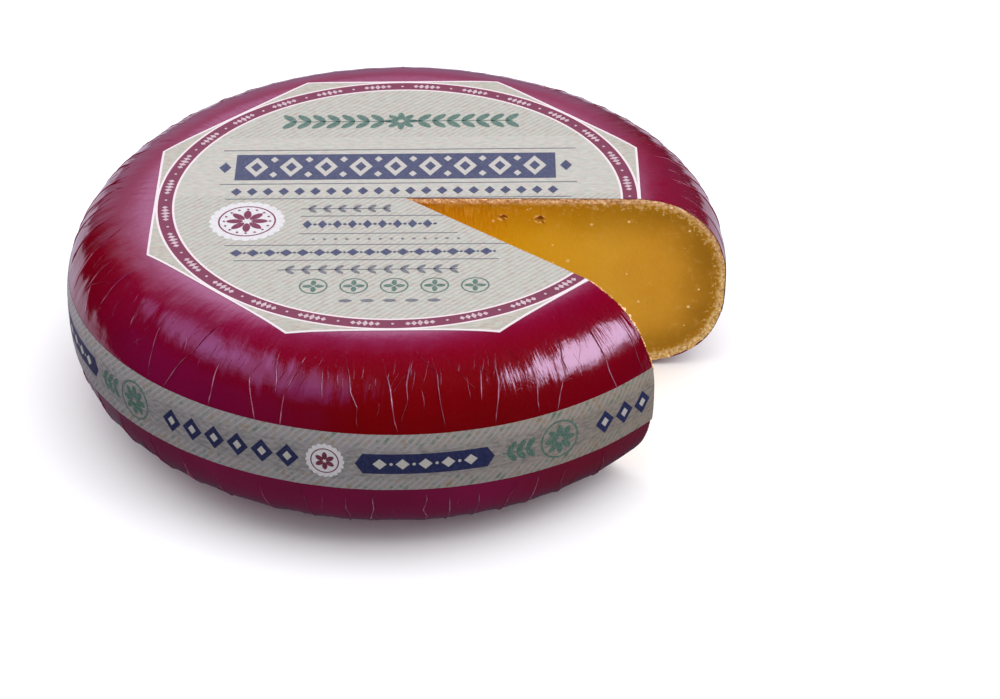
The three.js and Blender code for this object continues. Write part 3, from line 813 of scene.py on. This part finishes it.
def cheese():
    """The cheese as one closed body: two finely worked faces of the cut, and a plain skin that
    the coat hides."""
    rows, deep = 158, 240
    t = np.linspace(0, 1, rows)
    low, high = CHEESE_INSET + 0.05, WHEEL_HEIGHT - CHEESE_INSET - 0.05
    height = low + (high - low) * (0.45 * t + 0.55 * (0.5 - 0.5 * np.cos(math.pi * t)))
    points, marks, torn, faces = [], [], [], []
    for number, (direction, eyes) in enumerate(((FAR_FACE, FAR_FACE_EYES), (NEAR_FACE, NEAR_FACE_EYES))):
        reach = reach_at(direction % (2 * math.pi), height, CHEESE_INSET)
        out = reach[:, None] * np.linspace(0, 1, deep)[None, :]
        up = np.repeat(height[:, None], deep, 1)
        depth = rim_distance(out, up, reach, height)
        relief, rim, pit_shade = cut_relief(out, up, depth, eyes, number)
        relief = relief * step(0, 2.0, out)
        across = relief if number == 0 else -relief
        x = CUT_TIP[0] + out * math.cos(direction) + across * math.sin(direction)
        y = CUT_TIP[1] + out * math.sin(direction) - across * math.cos(direction)
        points.append(np.stack([x, y, up], -1).reshape(-1, 3))
        marks.append(np.stack([out, up, depth], -1).reshape(-1, 3))
        torn.append(np.stack([rim, pit_shade, 0 * out], -1).reshape(-1, 3))
        faces += grid_faces(rows, deep, number * rows * deep, flip=number == 0)
    # the skin under the coat, close beneath it at the cut and deeper where the coat hides it
    start, end = FAR_FACE, 2 * math.pi + NEAR_FACE
    close = np.radians([0.5, 1.6, 3.2])
    directions = np.concatenate([start + close, np.linspace(start + 0.1, end - 0.1, 56), end - close[::-1]])
    insets = np.concatenate([[0.7, 1.2, 2.0], np.full(56, 2.6), [2.0, 1.2, 0.7]])
    first = 2 * rows * deep
    for direction, inset in zip(directions, insets):
        reach = reach_at(direction, height, inset)
        x = CUT_TIP[0] + reach * math.cos(direction)
        y = CUT_TIP[1] + reach * math.sin(direction)
        points.append(np.stack([x, y, height], -1))
        marks.append(np.stack([reach, height, 0 * reach], -1))
        torn.append(np.zeros((rows, 3)))
    columns = [np.arange(rows) * deep + deep - 1]
    columns += [first + k * rows + np.arange(rows) for k in range(len(directions))]
    columns += [(rows + np.arange(rows)) * deep + deep - 1]
    for a, b in zip(columns[:-1], columns[1:]):
        faces += np.stack([a[:-1], b[:-1], b[1:], a[1:]], 1).tolist()
    for row, turned in ((0, True), (rows - 1, False)):
        far, near = row * deep + np.arange(deep), (rows + row) * deep + np.arange(deep)
        loop = [*far.tolist(), *(int(column[row]) for column in columns[1:-1]), *near[:0:-1].tolist()]
        faces.append(loop[::-1] if turned else loop)
    piece = piece_from("cheese_body", np.vstack(points), faces, PASTE, {"cut": np.vstack(marks), "torn": np.vstack(torn)})
    seam = bmesh.new()
    seam.from_mesh(piece.data)
    bmesh.ops.remove_doubles(seam, verts=seam.verts, dist=1e-6)
    seam.to_mesh(piece.data)
    seam.free()
    piece.data.set_sharp_from_angle(angle=math.radians(50))
    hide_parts("cheese")
    return piece


def crumbs(lift=0.1):
    """Crumbs of paste and rind that the knife left along the near edge of the cut."""
    rng = np.random.default_rng(31)
    ball = bmesh.new()
    bmesh.ops.create_icosphere(ball, subdivisions=1, radius=1.0)
    shape = np.array([v.co[:] for v in ball.verts])
    sides = [tuple(v.index for v in face.verts) for face in ball.faces]
    ball.free()
    points, marks, faces, along = [], [], [], 8.0
    while along < 205:
        size = rng.uniform(0.22, 0.5) * (0.8 if along < 150 else 1.35)
        back = rng.uniform(0.0, 0.35)
        x, y, _ = out_from_tip(np.array(NEAR_FACE % (2 * math.pi)), float(np.interp(along, DOWN, RADII)))
        here = skin(np.arctan2(y, x) - back / WHEEL_RADIUS, np.array(along), lift + (0.05 if along < 137 else 0))
        body = shape * size * rng.uniform(0.6, 1.2, 3) * rng.uniform(0.8, 1.2, (len(shape), 1))
        faces += [tuple(len(points) * len(shape) + k for k in side) for side in sides]
        points.append(body + here)
        marks.append(np.tile([150.0, 60.0, rng.uniform(0, 9)], (len(shape), 1)))
        along += rng.exponential(1.9) + 0.3
    piece = piece_from("cut_crumbs", np.vstack(points), faces, PASTE, {"cut": np.vstack(marks), "torn": 0 * np.vstack(marks)})


def reach_at(direction, height, inset):
    """How far the cheese reaches from the tip of the cut in one direction, at each height."""
    down = np.linspace(TOP_EDGE - 3, BASE_EDGE + 3, 900)
    x, y, _ = out_from_tip(np.full_like(down, direction), np.interp(down, DOWN, RADII))
    section = skin(np.arctan2(y, x), down, -inset)
    away = (section[:, 0] - CUT_TIP[0]) * math.cos(direction) + (section[:, 1] - CUT_TIP[1]) * math.sin(direction)
    order = np.argsort(section[:, 2], kind="stable")
    return np.interp(height, section[order, 2], away[order])


def rim_distance(out, up, reach, height):
    """How far each place on a face of the cut lies from the cheese's outer skin."""
    spread = np.linspace(height[0], height[-1], 220)
    shortest = np.minimum(up - height[0], height[-1] - up)
    for x, z in zip(np.interp(spread, height, reach), spread):
        shortest = np.minimum(shortest, np.hypot(out - x, up - z))
    return shortest


def cut_relief(out, up, depth, eyes, number):
    """How far a face of the cut stands out: the knife's slow waver, a fine tooth, crumbs along
    the rind, and the torn eyes."""
    seed = 40 + 10 * number
    relief = 0.5 * (soft_noise(out / 46, up / 28, seed) - 0.5) + 0.14 * (soft_noise(out / 9, up / 7, seed + 1) - 0.5)
    relief += 0.1 * (soft_noise(out / 1.9, up / 1.9, seed + 2) - 0.5)
    crumb = soft_noise(out / 1.7, up / 1.7, seed + 3) * soft_noise(out / 3.6, up / 3.6, seed + 4)
    rind = 1 - step(2.0, 5.0, depth)
    if number == 0:
        relief += rind * (1.7 * crumb - 0.42)
    else:
        bare = step(128, 150, out) * step(60, 76, up)
        relief += rind * (3.2 * crumb * bare + 1.3 * crumb - 0.3)
    rim, pit_shade = 0 * out, 0 * out
    for x, z, r in eyes:
        torn = soft_noise(out / 1.5, up / 1.5, seed + 5) + 0.7 * soft_noise(out / 0.8, up / 0.8, seed + 6)
        away = np.hypot((out - x) / 1.25, up - z) * (1 + 0.8 * (torn - 0.85))
        relief -= 1.3 * r * np.sqrt(np.clip(1 - (away / (r * 1.1)) ** 2, 0, 1))
        ridge = np.exp(-(((away - r * 1.25) / 0.55) ** 2))
        relief += 0.35 * ridge * torn
        rim = np.maximum(rim, 0.85 * ridge * step(0.5, 1.0, torn))
        # painted shade inside the eye's hollow
        pit_shade = np.maximum(pit_shade, 0.75 * (1 - step(0.45 * r, 0.85 * r, away)))
    return relief, rim, pit_shade


# the papers

def label_reach(direction):
    """How far the eight-sided label reaches from the tip of the cut."""
    reach = np.full(np.shape(direction), 1e9)
    for k in range(8):
        normal = np.array([math.cos(k * math.pi / 4), math.sin(k * math.pi / 4)])
        facing = normal[0] * np.cos(direction) + normal[1] * np.sin(direction)
        room = LABEL_APOTHEM - normal @ (CUT_TIP - LABEL_CENTRE)
        reach = np.where(facing > 1e-6, np.minimum(reach, room / np.maximum(facing, 1e-6)), reach)
    return reach


def paper_from(name, rows, material, node):
    """A closed sheet from rows of (angle, down) places on the coat, its underside just in it."""
    count, across = len(rows), len(rows[0][0])
    sides = [[skin(angle, down, lift) for angle, down in rows] for lift in (PAPER, -0.03)]
    wraps = [np.stack([unwrap(angle) * WHEEL_RADIUS, down, 0 * down], -1) for angle, down in rows]
    total = count * across
    faces = grid_faces(count, across) + grid_faces(count, across, total, flip=True)
    ends = [i * across for i in range(count)]
    loop = [*range(across), *(i + across - 1 for i in ends[1:])]
    loop += [ends[-1] + j for j in range(across - 2, -1, -1)] + ends[-2:0:-1]
    faces += [(i, j, j + total, i + total) for i, j in zip(loop, loop[1:] + loop[:1])]
    piece = piece_from(name, np.vstack(sides[0] + sides[1]), faces, material, {"wrap": np.vstack(wraps * 2)})
    piece.data.set_sharp_from_angle(angle=math.radians(35))
    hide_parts(node)
    return piece


def top_label():
    corners = []
    for k in range(8):
        turn = (k + 0.5) * math.pi / 4
        corner = LABEL_CENTRE + LABEL_RADIUS * np.array([math.cos(turn), math.sin(turn)]) - CUT_TIP
        corners.append(math.atan2(corner[1], corner[0]) % (2 * math.pi))
    direction = np.linspace(FAR_FACE, 2 * math.pi + NEAR_FACE, 420)
    for corner in corners:
        k = int(np.argmin(np.abs(direction - corner)))
        if 0 < k < len(direction) - 1:
            direction[k] = corner
    rows = []
    for share in (0.004, 0.3, 0.6, 0.8, 0.86, 0.89, 0.92, 0.94, 0.96, 0.975, 0.99, 1.0):
        distance = share * label_reach(direction)
        rows.append(wheel_place(CUT_TIP[0] + distance * np.cos(direction), CUT_TIP[1] + distance * np.sin(direction)))
    return paper_from("octagon_label", rows, LABEL_PAPER, "top_label")


def side_band():
    direction = np.linspace(FAR_FACE, 2 * math.pi + NEAR_FACE, 1000)
    rows, heights = [], []
    for k in range(15):
        across = BAND_WIDTH * (0.5 - k / 14)
        angle = direction
        for _ in range(3):
            down = down_at_height(band_middle(angle) + across)
            reach = np.interp(down, DOWN, RADII) * out_of_round(angle)
            along = CUT_TIP[0] * np.cos(direction) + CUT_TIP[1] * np.sin(direction)
            distance = np.sqrt(along**2 - CUT_TIP @ CUT_TIP + reach**2) - along
            angle = np.arctan2(CUT_TIP[1] + distance * np.sin(direction), CUT_TIP[0] + distance * np.cos(direction))
            angle = unwrap(angle)
        rows.append((angle, down_at_height(band_middle(angle) + across)))
        heights.append(np.stack([np.full_like(angle, across), angle, 0 * angle], -1))
    piece = paper_from("kraft_band", rows, BAND_PAPER, "side_band")
    layer = piece.data.attributes.new("across", "FLOAT_VECTOR", "POINT")
    layer.data.foreach_set("vector", np.vstack(heights * 2).astype(np.float32).ravel())
    return piece


# the print: plain ornaments in a few inks

def disc(x, y, radius, lobes=0, depth=0.0, count=48):
    turn = np.arange(count) * 2 * math.pi / count
    size = radius * (1 - depth + depth * np.abs(np.cos(turn * lobes / 2)))
    return np.stack([x + size * np.cos(turn), y + size * np.sin(turn)], 1)


def lozenge(x, y, width, height):
    return np.array([[x + width / 2, y], [x, y + height / 2], [x - width / 2, y], [x, y - height / 2]])


def leaf(x, y, length, width, degrees):
    """A leaf from its stalk end at x, y."""
    t = np.linspace(0, math.pi, 9)
    upper = np.stack([length * (1 - np.cos(t)) / 2, width / 2 * np.sin(t) ** 1.3], 1)
    outline = np.vstack([upper, upper[-2:0:-1] * [1, -1]])
    turn = math.radians(degrees)
    spun = outline @ np.array([[math.cos(turn), math.sin(turn)], [-math.sin(turn), math.cos(turn)]])
    return (spun + [x, y])[::-1]


def bar(x, y, width, height):
    """A bar cut into short lengths, so that it can follow a curve."""
    count = max(1, int(math.ceil(width / 5)))
    edges = x - width / 2 + width * np.arange(count + 1) / count
    return [
        np.array([[right, y - height / 2], [right, y + height / 2], [left, y + height / 2], [left, y - height / 2]])
        for left, right in zip(edges[:-1], edges[1:])
    ]


def hoop(x, y, radius, width, count=48):
    """A ring as short quads."""
    inner, outer = disc(x, y, radius - width / 2, count=count), disc(x, y, radius + width / 2, count=count)
    return [np.array([inner[k], outer[k], outer[(k + 1) % count], inner[(k + 1) % count]]) for k in range(count)]


def rosette(x, y, petals, inner, length, width):
    shapes = []
    for k in range(petals):
        degrees = 90 + 360 * k / petals
        turn = math.radians(degrees)
        shapes.append(leaf(x + inner * math.cos(turn), y + inner * math.sin(turn), length, width, degrees))
    return shapes


def on_label(points, lift):
    angle, down = wheel_place(points[:, 0] + LABEL_CENTRE[0], points[:, 1] + LABEL_CENTRE[1])
    return skin(angle, down, lift)


def on_band(points, lift):
    angle = points[:, 0] / WHEEL_RADIUS
    return skin(angle, down_at_height(band_middle(angle) + points[:, 1]), lift)


def split_long(outline, longest=3.5):
    """The same outline with its long edges cut up, so that they can follow a curve."""
    parts = []
    for a, b in zip(outline, np.roll(outline, -1, axis=0)):
        count = int(np.hypot(*(b - a)) // longest) + 1
        parts.append(a + (b - a) * np.arange(count)[:, None] / count)
    return np.vstack(parts)


def print_piece(name, shapes, place, ink, layer=1):
    """Flat shapes laid on the paper as a film of ink, and cut off at the wheel's cut."""
    points, faces = [], []
    for outline in shapes:
        outline = split_long(np.asarray(outline, float))
        if len(outline) > 4:
            centre = outline.mean(0)
            rings = 1 + int(np.ptp(outline, axis=0).max() // 7)
            first = len(points)
            points.append(centre)
            for k in range(1, rings + 1):
                points.extend(centre + (outline - centre) * k / rings)
            size = len(outline)
            for i in range(size):
                faces.append((first, first + 1 + i, first + 1 + (i + 1) % size))
            for k in range(rings - 1):
                a, b = first + 1 + k * size, first + 1 + (k + 1) * size
                for i in range(size):
                    n = (i + 1) % size
                    faces.append((a + i, b + i, b + n, a + n))
        else:
            first = len(points)
            points.extend(outline)
            faces.append(tuple(range(first, first + len(outline))))
    laid = place(np.array(points), PAPER + INK * layer)
    piece = piece_from(name, laid, faces, ink, smooth=False)
    mesh = bmesh.new()
    mesh.from_mesh(piece.data)
    tip = Vector((*CUT_TIP, 0)) * MM
    far_side = Vector((-math.sin(FAR_FACE), math.cos(FAR_FACE), 0))
    near_side = Vector((-math.sin(NEAR_FACE), math.cos(NEAR_FACE), 0))
    for normal in (far_side, near_side):
        parts = mesh.verts[:] + mesh.edges[:] + mesh.faces[:]
        bmesh.ops.bisect_plane(mesh, geom=parts, plane_co=tip, plane_no=normal, dist=1e-7)
    gone = []
    for face in mesh.faces:
        towards = face.calc_center_median() - tip
        if towards.dot(far_side) < 0 < towards.dot(near_side):
            gone.append(face)
    bmesh.ops.delete(mesh, geom=gone, context="FACES")
    bmesh.ops.remove_doubles(mesh, verts=mesh.verts, dist=1e-8)
    bmesh.ops.recalc_face_normals(mesh, faces=mesh.faces)
    for face in mesh.faces:
        centre = face.calc_center_median()
        outward = Vector((centre.x, centre.y, 0 if place is on_band else 1))
        if face.normal.dot(outward) < 0:
            face.normal_flip()
    mesh.to_mesh(piece.data)
    mesh.free()
    film = piece.modifiers.new("ink_film", "SOLIDIFY")
    film.thickness = INK * 0.9 * MM
    film.offset = -1
    return piece


def turned(outline, degrees):
    turn = math.radians(degrees)
    return np.asarray(outline) @ np.array([[math.cos(turn), math.sin(turn)], [-math.sin(turn), math.cos(turn)]])


def vine(x, y, count, pitch, length, width, lean=50):
    """Leaves in pairs along a level stalk."""
    shapes = bar(x + pitch * (count - 1) / 2, y, pitch * count, 0.9)
    for k in range(count):
        shapes += [leaf(x + pitch * k, y, length, width, hand * lean) for hand in (-1, 1)]
    return shapes


def label_print():
    """The label's ornament: a ring of lozenges and dots, a garland, a frieze, a seal, and rows of
    fine work under them. It has no lettering."""
    ring = []
    for k in range(28):
        for x, size in ((-6.6, 3.6), (-3.3, 4.6), (0, 5.6), (3.3, 4.6), (6.6, 3.6)):
            ring.append(turned(lozenge(x, 131.3, 3.1, size), 360 * (k + 0.5) / 28))
        ring.append(turned(disc(0, 131.3, 0.8, count=10), 360 * k / 28))
    print_piece("label_ring_ornament", ring, on_label, BLUSH)

    garland = vine(10, 89, 7, 8.6, 11, 4.6, 46)
    garland += [shape * [-1, 1] for shape in vine(10, 89, 7, 8.6, 11, 4.6, 46)]
    garland += rosette(0, 89, 8, 1.6, 8.5, 4.0)
    for k in range(5):
        garland += hoop(-44 + 22 * k, -93, 7.4, 0.9, 32) + rosette(-44 + 22 * k, -93, 4, 0.6, 5.4, 3.0)
    print_piece("label_green_print", garland, on_label, GREEN)

    frieze = bar(-2, 36, 184, 29)
    for x in (-100, 96):
        frieze += [lozenge(x, 36, 7, 12)]
    for k in range(21):
        frieze.append(lozenge(-92 + 9 * k, 8.5, 6.2, 8.6))
    for k in range(9):
        frieze += [turned(lozenge(0, 0, 5.4, 9), 0) + [-50 + 8.4 * k, -28]]
        frieze += [disc(-45.8 + 8.4 * k, -28, 1.1, count=10)]
    for k in range(16):
        frieze += [lozenge(-88 + 9.2 * k, -58, 7.0, 7.4), lozenge(-83.4 + 9.2 * k, -58, 2.2, 2.4)]
    print_piece("label_navy_print", frieze, on_label, NAVY)

    knocked_out = []
    for k in range(9):
        knocked_out.append(lozenge(-82 + 20 * k, 36, 13.5, 22))
        if k < 8:
            knocked_out += [lozenge(-72 + 20 * k, 44.5, 4.6, 6.6), lozenge(-72 + 20 * k, 27.5, 4.6, 6.6)]
    print_piece("label_frieze_lozenges", knocked_out, on_label, PALE, layer=2)
    print_piece(
        "label_frieze_hearts", [lozenge(-82 + 20 * k, 36, 6.4, 10.6) for k in range(9)],
        on_label, NAVY, layer=3,
    )

    fine = bar(0, 17, 204, 0.9) + bar(0, 0.5, 196, 0.9) + bar(0, 55.5, 204, 0.9)
    fine += bar(-14, -19, 80, 0.8) + bar(-10, -38, 88, 0.8) + bar(-16, -50, 158, 0.8)
    fine += bar(-16, -66, 146, 0.8) + vine(-60, -76, 11, 9.0, 6.6, 2.6, 42)
    fine += vine(-50, -11, 6, 8.4, 6.0, 2.6, 42)
    fine += [disc(-46 + 6.2 * k, -44, 1.0, count=10) for k in range(14)]
    fine += [leaf(-30 + 12 * k, -108, 7.5, 3.2, 0) for k in range(5)]
    print_piece("label_grey_print", fine, on_label, GREY)

    print_piece("label_seal", [disc(-84, -24, 21.5, 24, 0.07, 96)], on_label, WHITE)
    emblem = rosette(-84, -24, 8, 2.2, 9.5, 4.4) + hoop(-84, -24, 15.8, 0.9)
    emblem += [disc(*(np.array([-84, -24]) + 12.9 * np.array([math.cos(a), math.sin(a)])), 0.8, count=8) for a in np.arange(16) * math.pi / 8]
    print_piece("label_seal_flower", emblem, on_label, MAROON, layer=2)


def band_print():
    """The band's ornament, repeated round the wheel: a navy bar of pale lozenges, a sprig, a
    white seal with a flower, a chain of navy lozenges and a flower in a hoop."""
    navy, green, white, maroon, pale = [], [], [], [], []
    repeat = 251.0
    for k in range(-1, 6):
        base = AROUND_START + 22 + k * repeat
        for n in range(6):
            navy.append(lozenge(base + 14.5 * n, 0, 13, 14.6))
            pale.append(lozenge(base + 14.5 * n, 0, 5.2, 6.0))
        white.append(disc(base + 93, 0, 10.6, 20, 0.09, 80))
        maroon += hoop(base + 93, 0, 7.4, 0.6, 36) + rosette(base + 93, 0, 6, 0.8, 4.8, 2.8)
        navy += bar(base + 146, 0, 66, 12.4)
        navy += [lozenge(base + 113, 0, 8, 12.4), lozenge(base + 179, 0, 8, 12.4)]
        for n in range(5):
            pale.append(lozenge(base + 122 + 12 * n, 0, 7.4, 6.6))
            if n < 4:
                pale.append(disc(base + 128 + 12 * n, 0, 0.9, count=10))
        green += vine(base + 190, 0, 3, 5.4, 8.0, 3.6) + hoop(base + 221, 0, 11.2, 1.1, 40)
        green += rosette(base + 221, 0, 8, 1.6, 7.6, 3.8)
    for name, shapes, ink, layer in (
        ("band_navy_print", navy, DEEP_NAVY, 1), ("band_green_print", green, GREEN, 1),
        ("band_seals", white, WHITE, 1), ("band_pale_lozenges", pale, PALE, 2),
        ("band_seal_flowers", maroon, MAROON, 2),
    ):
        inside = [s for s in shapes if AROUND_START + 3 < s[:, 0].min() and s[:, 0].max() < AROUND_END - 2.5]
        print_piece(name, inside, on_band, ink, layer)


# the stage

def floor_and_light():
    material, tree, body = finish_of("pale_table", Roughness=0.9)
    body.inputs["Base Color"].default_value = paint("#f4f4f5")
    mesh = bpy.data.meshes.new("floor")
    mesh.from_pydata([(-6, -6, -0.0004), (6, -6, -0.0004), (6, 6, -0.0004), (-6, 6, -0.0004)], [], [(0, 1, 2, 3)])
    mesh.materials.append(material)
    floor = bpy.data.objects.new("floor", mesh)
    bpy.context.scene.collection.objects.link(floor)
    floor.visible_diffuse = floor.visible_glossy = False

    def softbox(name, azimuth, elevation, distance, width, height, watts, colour="#ffffff", soft=0.0):
        a, e = math.radians(azimuth), math.radians(elevation)
        towards = Vector((math.sin(a) * math.cos(e), -math.cos(a) * math.cos(e), math.sin(e)))
        light = bpy.data.lights.new(name, "AREA")
        light.shape, light.size, light.size_y = "RECTANGLE", width, height
        light.energy = watts
        light.color = paint(colour)[:3]
        lamp = bpy.data.objects.new(name, light)
        lamp.location = Vector((0, 0, 0.05)) + towards * distance
        lamp.rotation_euler = towards.to_track_quat("Z", "Y").to_euler()
        lamp.visible_camera = False
        if soft:
            light.use_nodes = True
            tree = light.node_tree
            place = add(tree, "ShaderNodeNewGeometry").outputs["Parametric"]
            away = add(tree, "ShaderNodeVectorMath", {0: place, 1: (0.5, 0.5, 0.0)}, operation="SUBTRACT")
            away = add(tree, "ShaderNodeVectorMath", {0: away}, operation="ABSOLUTE")
            fall = 1.0
            for side in add(tree, "ShaderNodeSeparateXYZ", {0: away}).outputs[:2]:
                edge = {"Value": side, "From Min": 0.5 - soft, "From Max": 0.5, "To Min": 1.0, "To Max": 0.0}
                share = add(tree, "ShaderNodeMapRange", edge, interpolation_type="SMOOTHSTEP")
                fall = add(tree, "ShaderNodeMath", {0: share, 1: fall}, operation="MULTIPLY")
            tree.links.new(fall.outputs[0], tree.nodes["Emission"].inputs["Strength"])
        bpy.context.scene.collection.objects.link(lamp)
        return lamp

    # the light that falls on the wheel
    for name, azimuth, elevation, distance, width, height, watts in (
        ("key_right", 84, 42, 2.0, 1.9, 1.6, 24), ("overhead_fill", 0, 86, 1.9, 2.0, 2.0, 19),
        ("front_fill", 35, 12, 2.0, 1.2, 0.8, 2.0), ("left_fill", -118, 26, 2.0, 1.4, 1.0, 15.5),
        ("back_fill", -176, 26, 2.3, 3.0, 2.4, 17.5),
    ):
        softbox(name, azimuth, elevation, distance, width, height, watts).visible_glossy = False
    # the panels that the glossy film mirrors, fading out over this share of their width
    for name, azimuth, elevation, distance, width, height, watts, colour, soft in (
        ("right_box", 79, 40, 2.0, 1.5, 1.2, 37, "#f0e4ff", 0.26),
        ("right_box_foot", 90, 24, 2.0, 0.85, 0.55, 3.9, "#f0e4ff", 0.4),
        ("right_haze", 151, 13, 2.2, 0.9, 1.5, 0.45, "#c4b0ff", 0.2),
        ("left_box_back", -98, 50, 1.6, 1.2, 0.95, 4.3, "#d2b4ff", 0.4),
        ("left_box_front", -62, 55, 1.6, 1.7, 1.1, 6.6, "#d2b4ff", 0.4),
        ("left_haze", -34, 44, 1.8, 1.0, 1.1, 1.8, "#b48bff", 0.4),
        ("backdrop", -168, 38, 2.3, 2.3, 1.7, 16, "#e2d2ff", 0.5),
        ("backdrop_wide", -168, 24, 2.3, 3.0, 3.8, 13, "#e0d0ff", 0.25),
        ("backdrop_high", -170, 58, 2.3, 2.4, 1.7, 5.0, "#c4a6ff", 0.5),
        ("left_glow", -62, 14, 2.0, 3.6, 1.5, 1.8, "#a468ff", 0.3),
        ("table_glow", 0, -90, 0.0502, 1.6, 1.6, 0.5, "#dccaf2", 0.0),
        ("table_behind", 0, -90, 0.0502, 2.6, 0.9, 4.4, "#e8dcf2", 0.3),
    ):
        lamp = softbox(name, azimuth, elevation, distance, width, height, watts, colour, soft)
        lamp.visible_diffuse = False
        if name == "table_behind":
            lamp.location.y += 0.33

    # a faint even light from all round, which the glossy film doesn't mirror
    world = bpy.data.worlds.new("studio")
    bpy.context.scene.world = world
    world.use_nodes = True
    world.node_tree.nodes["Background"].inputs["Color"].default_value = paint("#fbfaff")
    world.node_tree.nodes["Background"].inputs["Strength"].default_value = 0.675
    world.cycles_visibility.glossy = False
    bpy.context.scene.view_settings.view_transform = "Standard"


def camera():
    """The photograph's viewpoint, 33 degrees above the table."""
    pitch, roll = math.radians(33.240), math.radians(-0.479)
    forward = Vector((0, math.cos(pitch), -math.sin(pitch)))
    right, up = Vector((1, 0, 0)), Vector((0, math.sin(pitch), math.cos(pitch)))
    across = math.cos(roll) * right + math.sin(roll) * up
    upward = -math.sin(roll) * right + math.cos(roll) * up
    data = bpy.data.cameras.new("camera")
    data.sensor_fit, data.sensor_width, data.lens = "HORIZONTAL", 36.0, 119.34
    data.clip_start, data.clip_end = 0.05, 30
    eye = bpy.data.objects.new("camera", data)
    turn = Matrix((across, upward, -forward)).transposed().to_4x4()
    eye.matrix_world = Matrix.Translation((0.05863, -1.62030, 1.06921)) @ turn
    bpy.context.scene.collection.objects.link(eye)
    bpy.context.scene.camera = eye


coat()
fold_ridges("coat_folds", LONG_FOLDS + SHORT_FOLDS, FILM)
cheese()
crumbs()
top_label()
side_band()
label_print()
band_print()
floor_and_light()
camera()
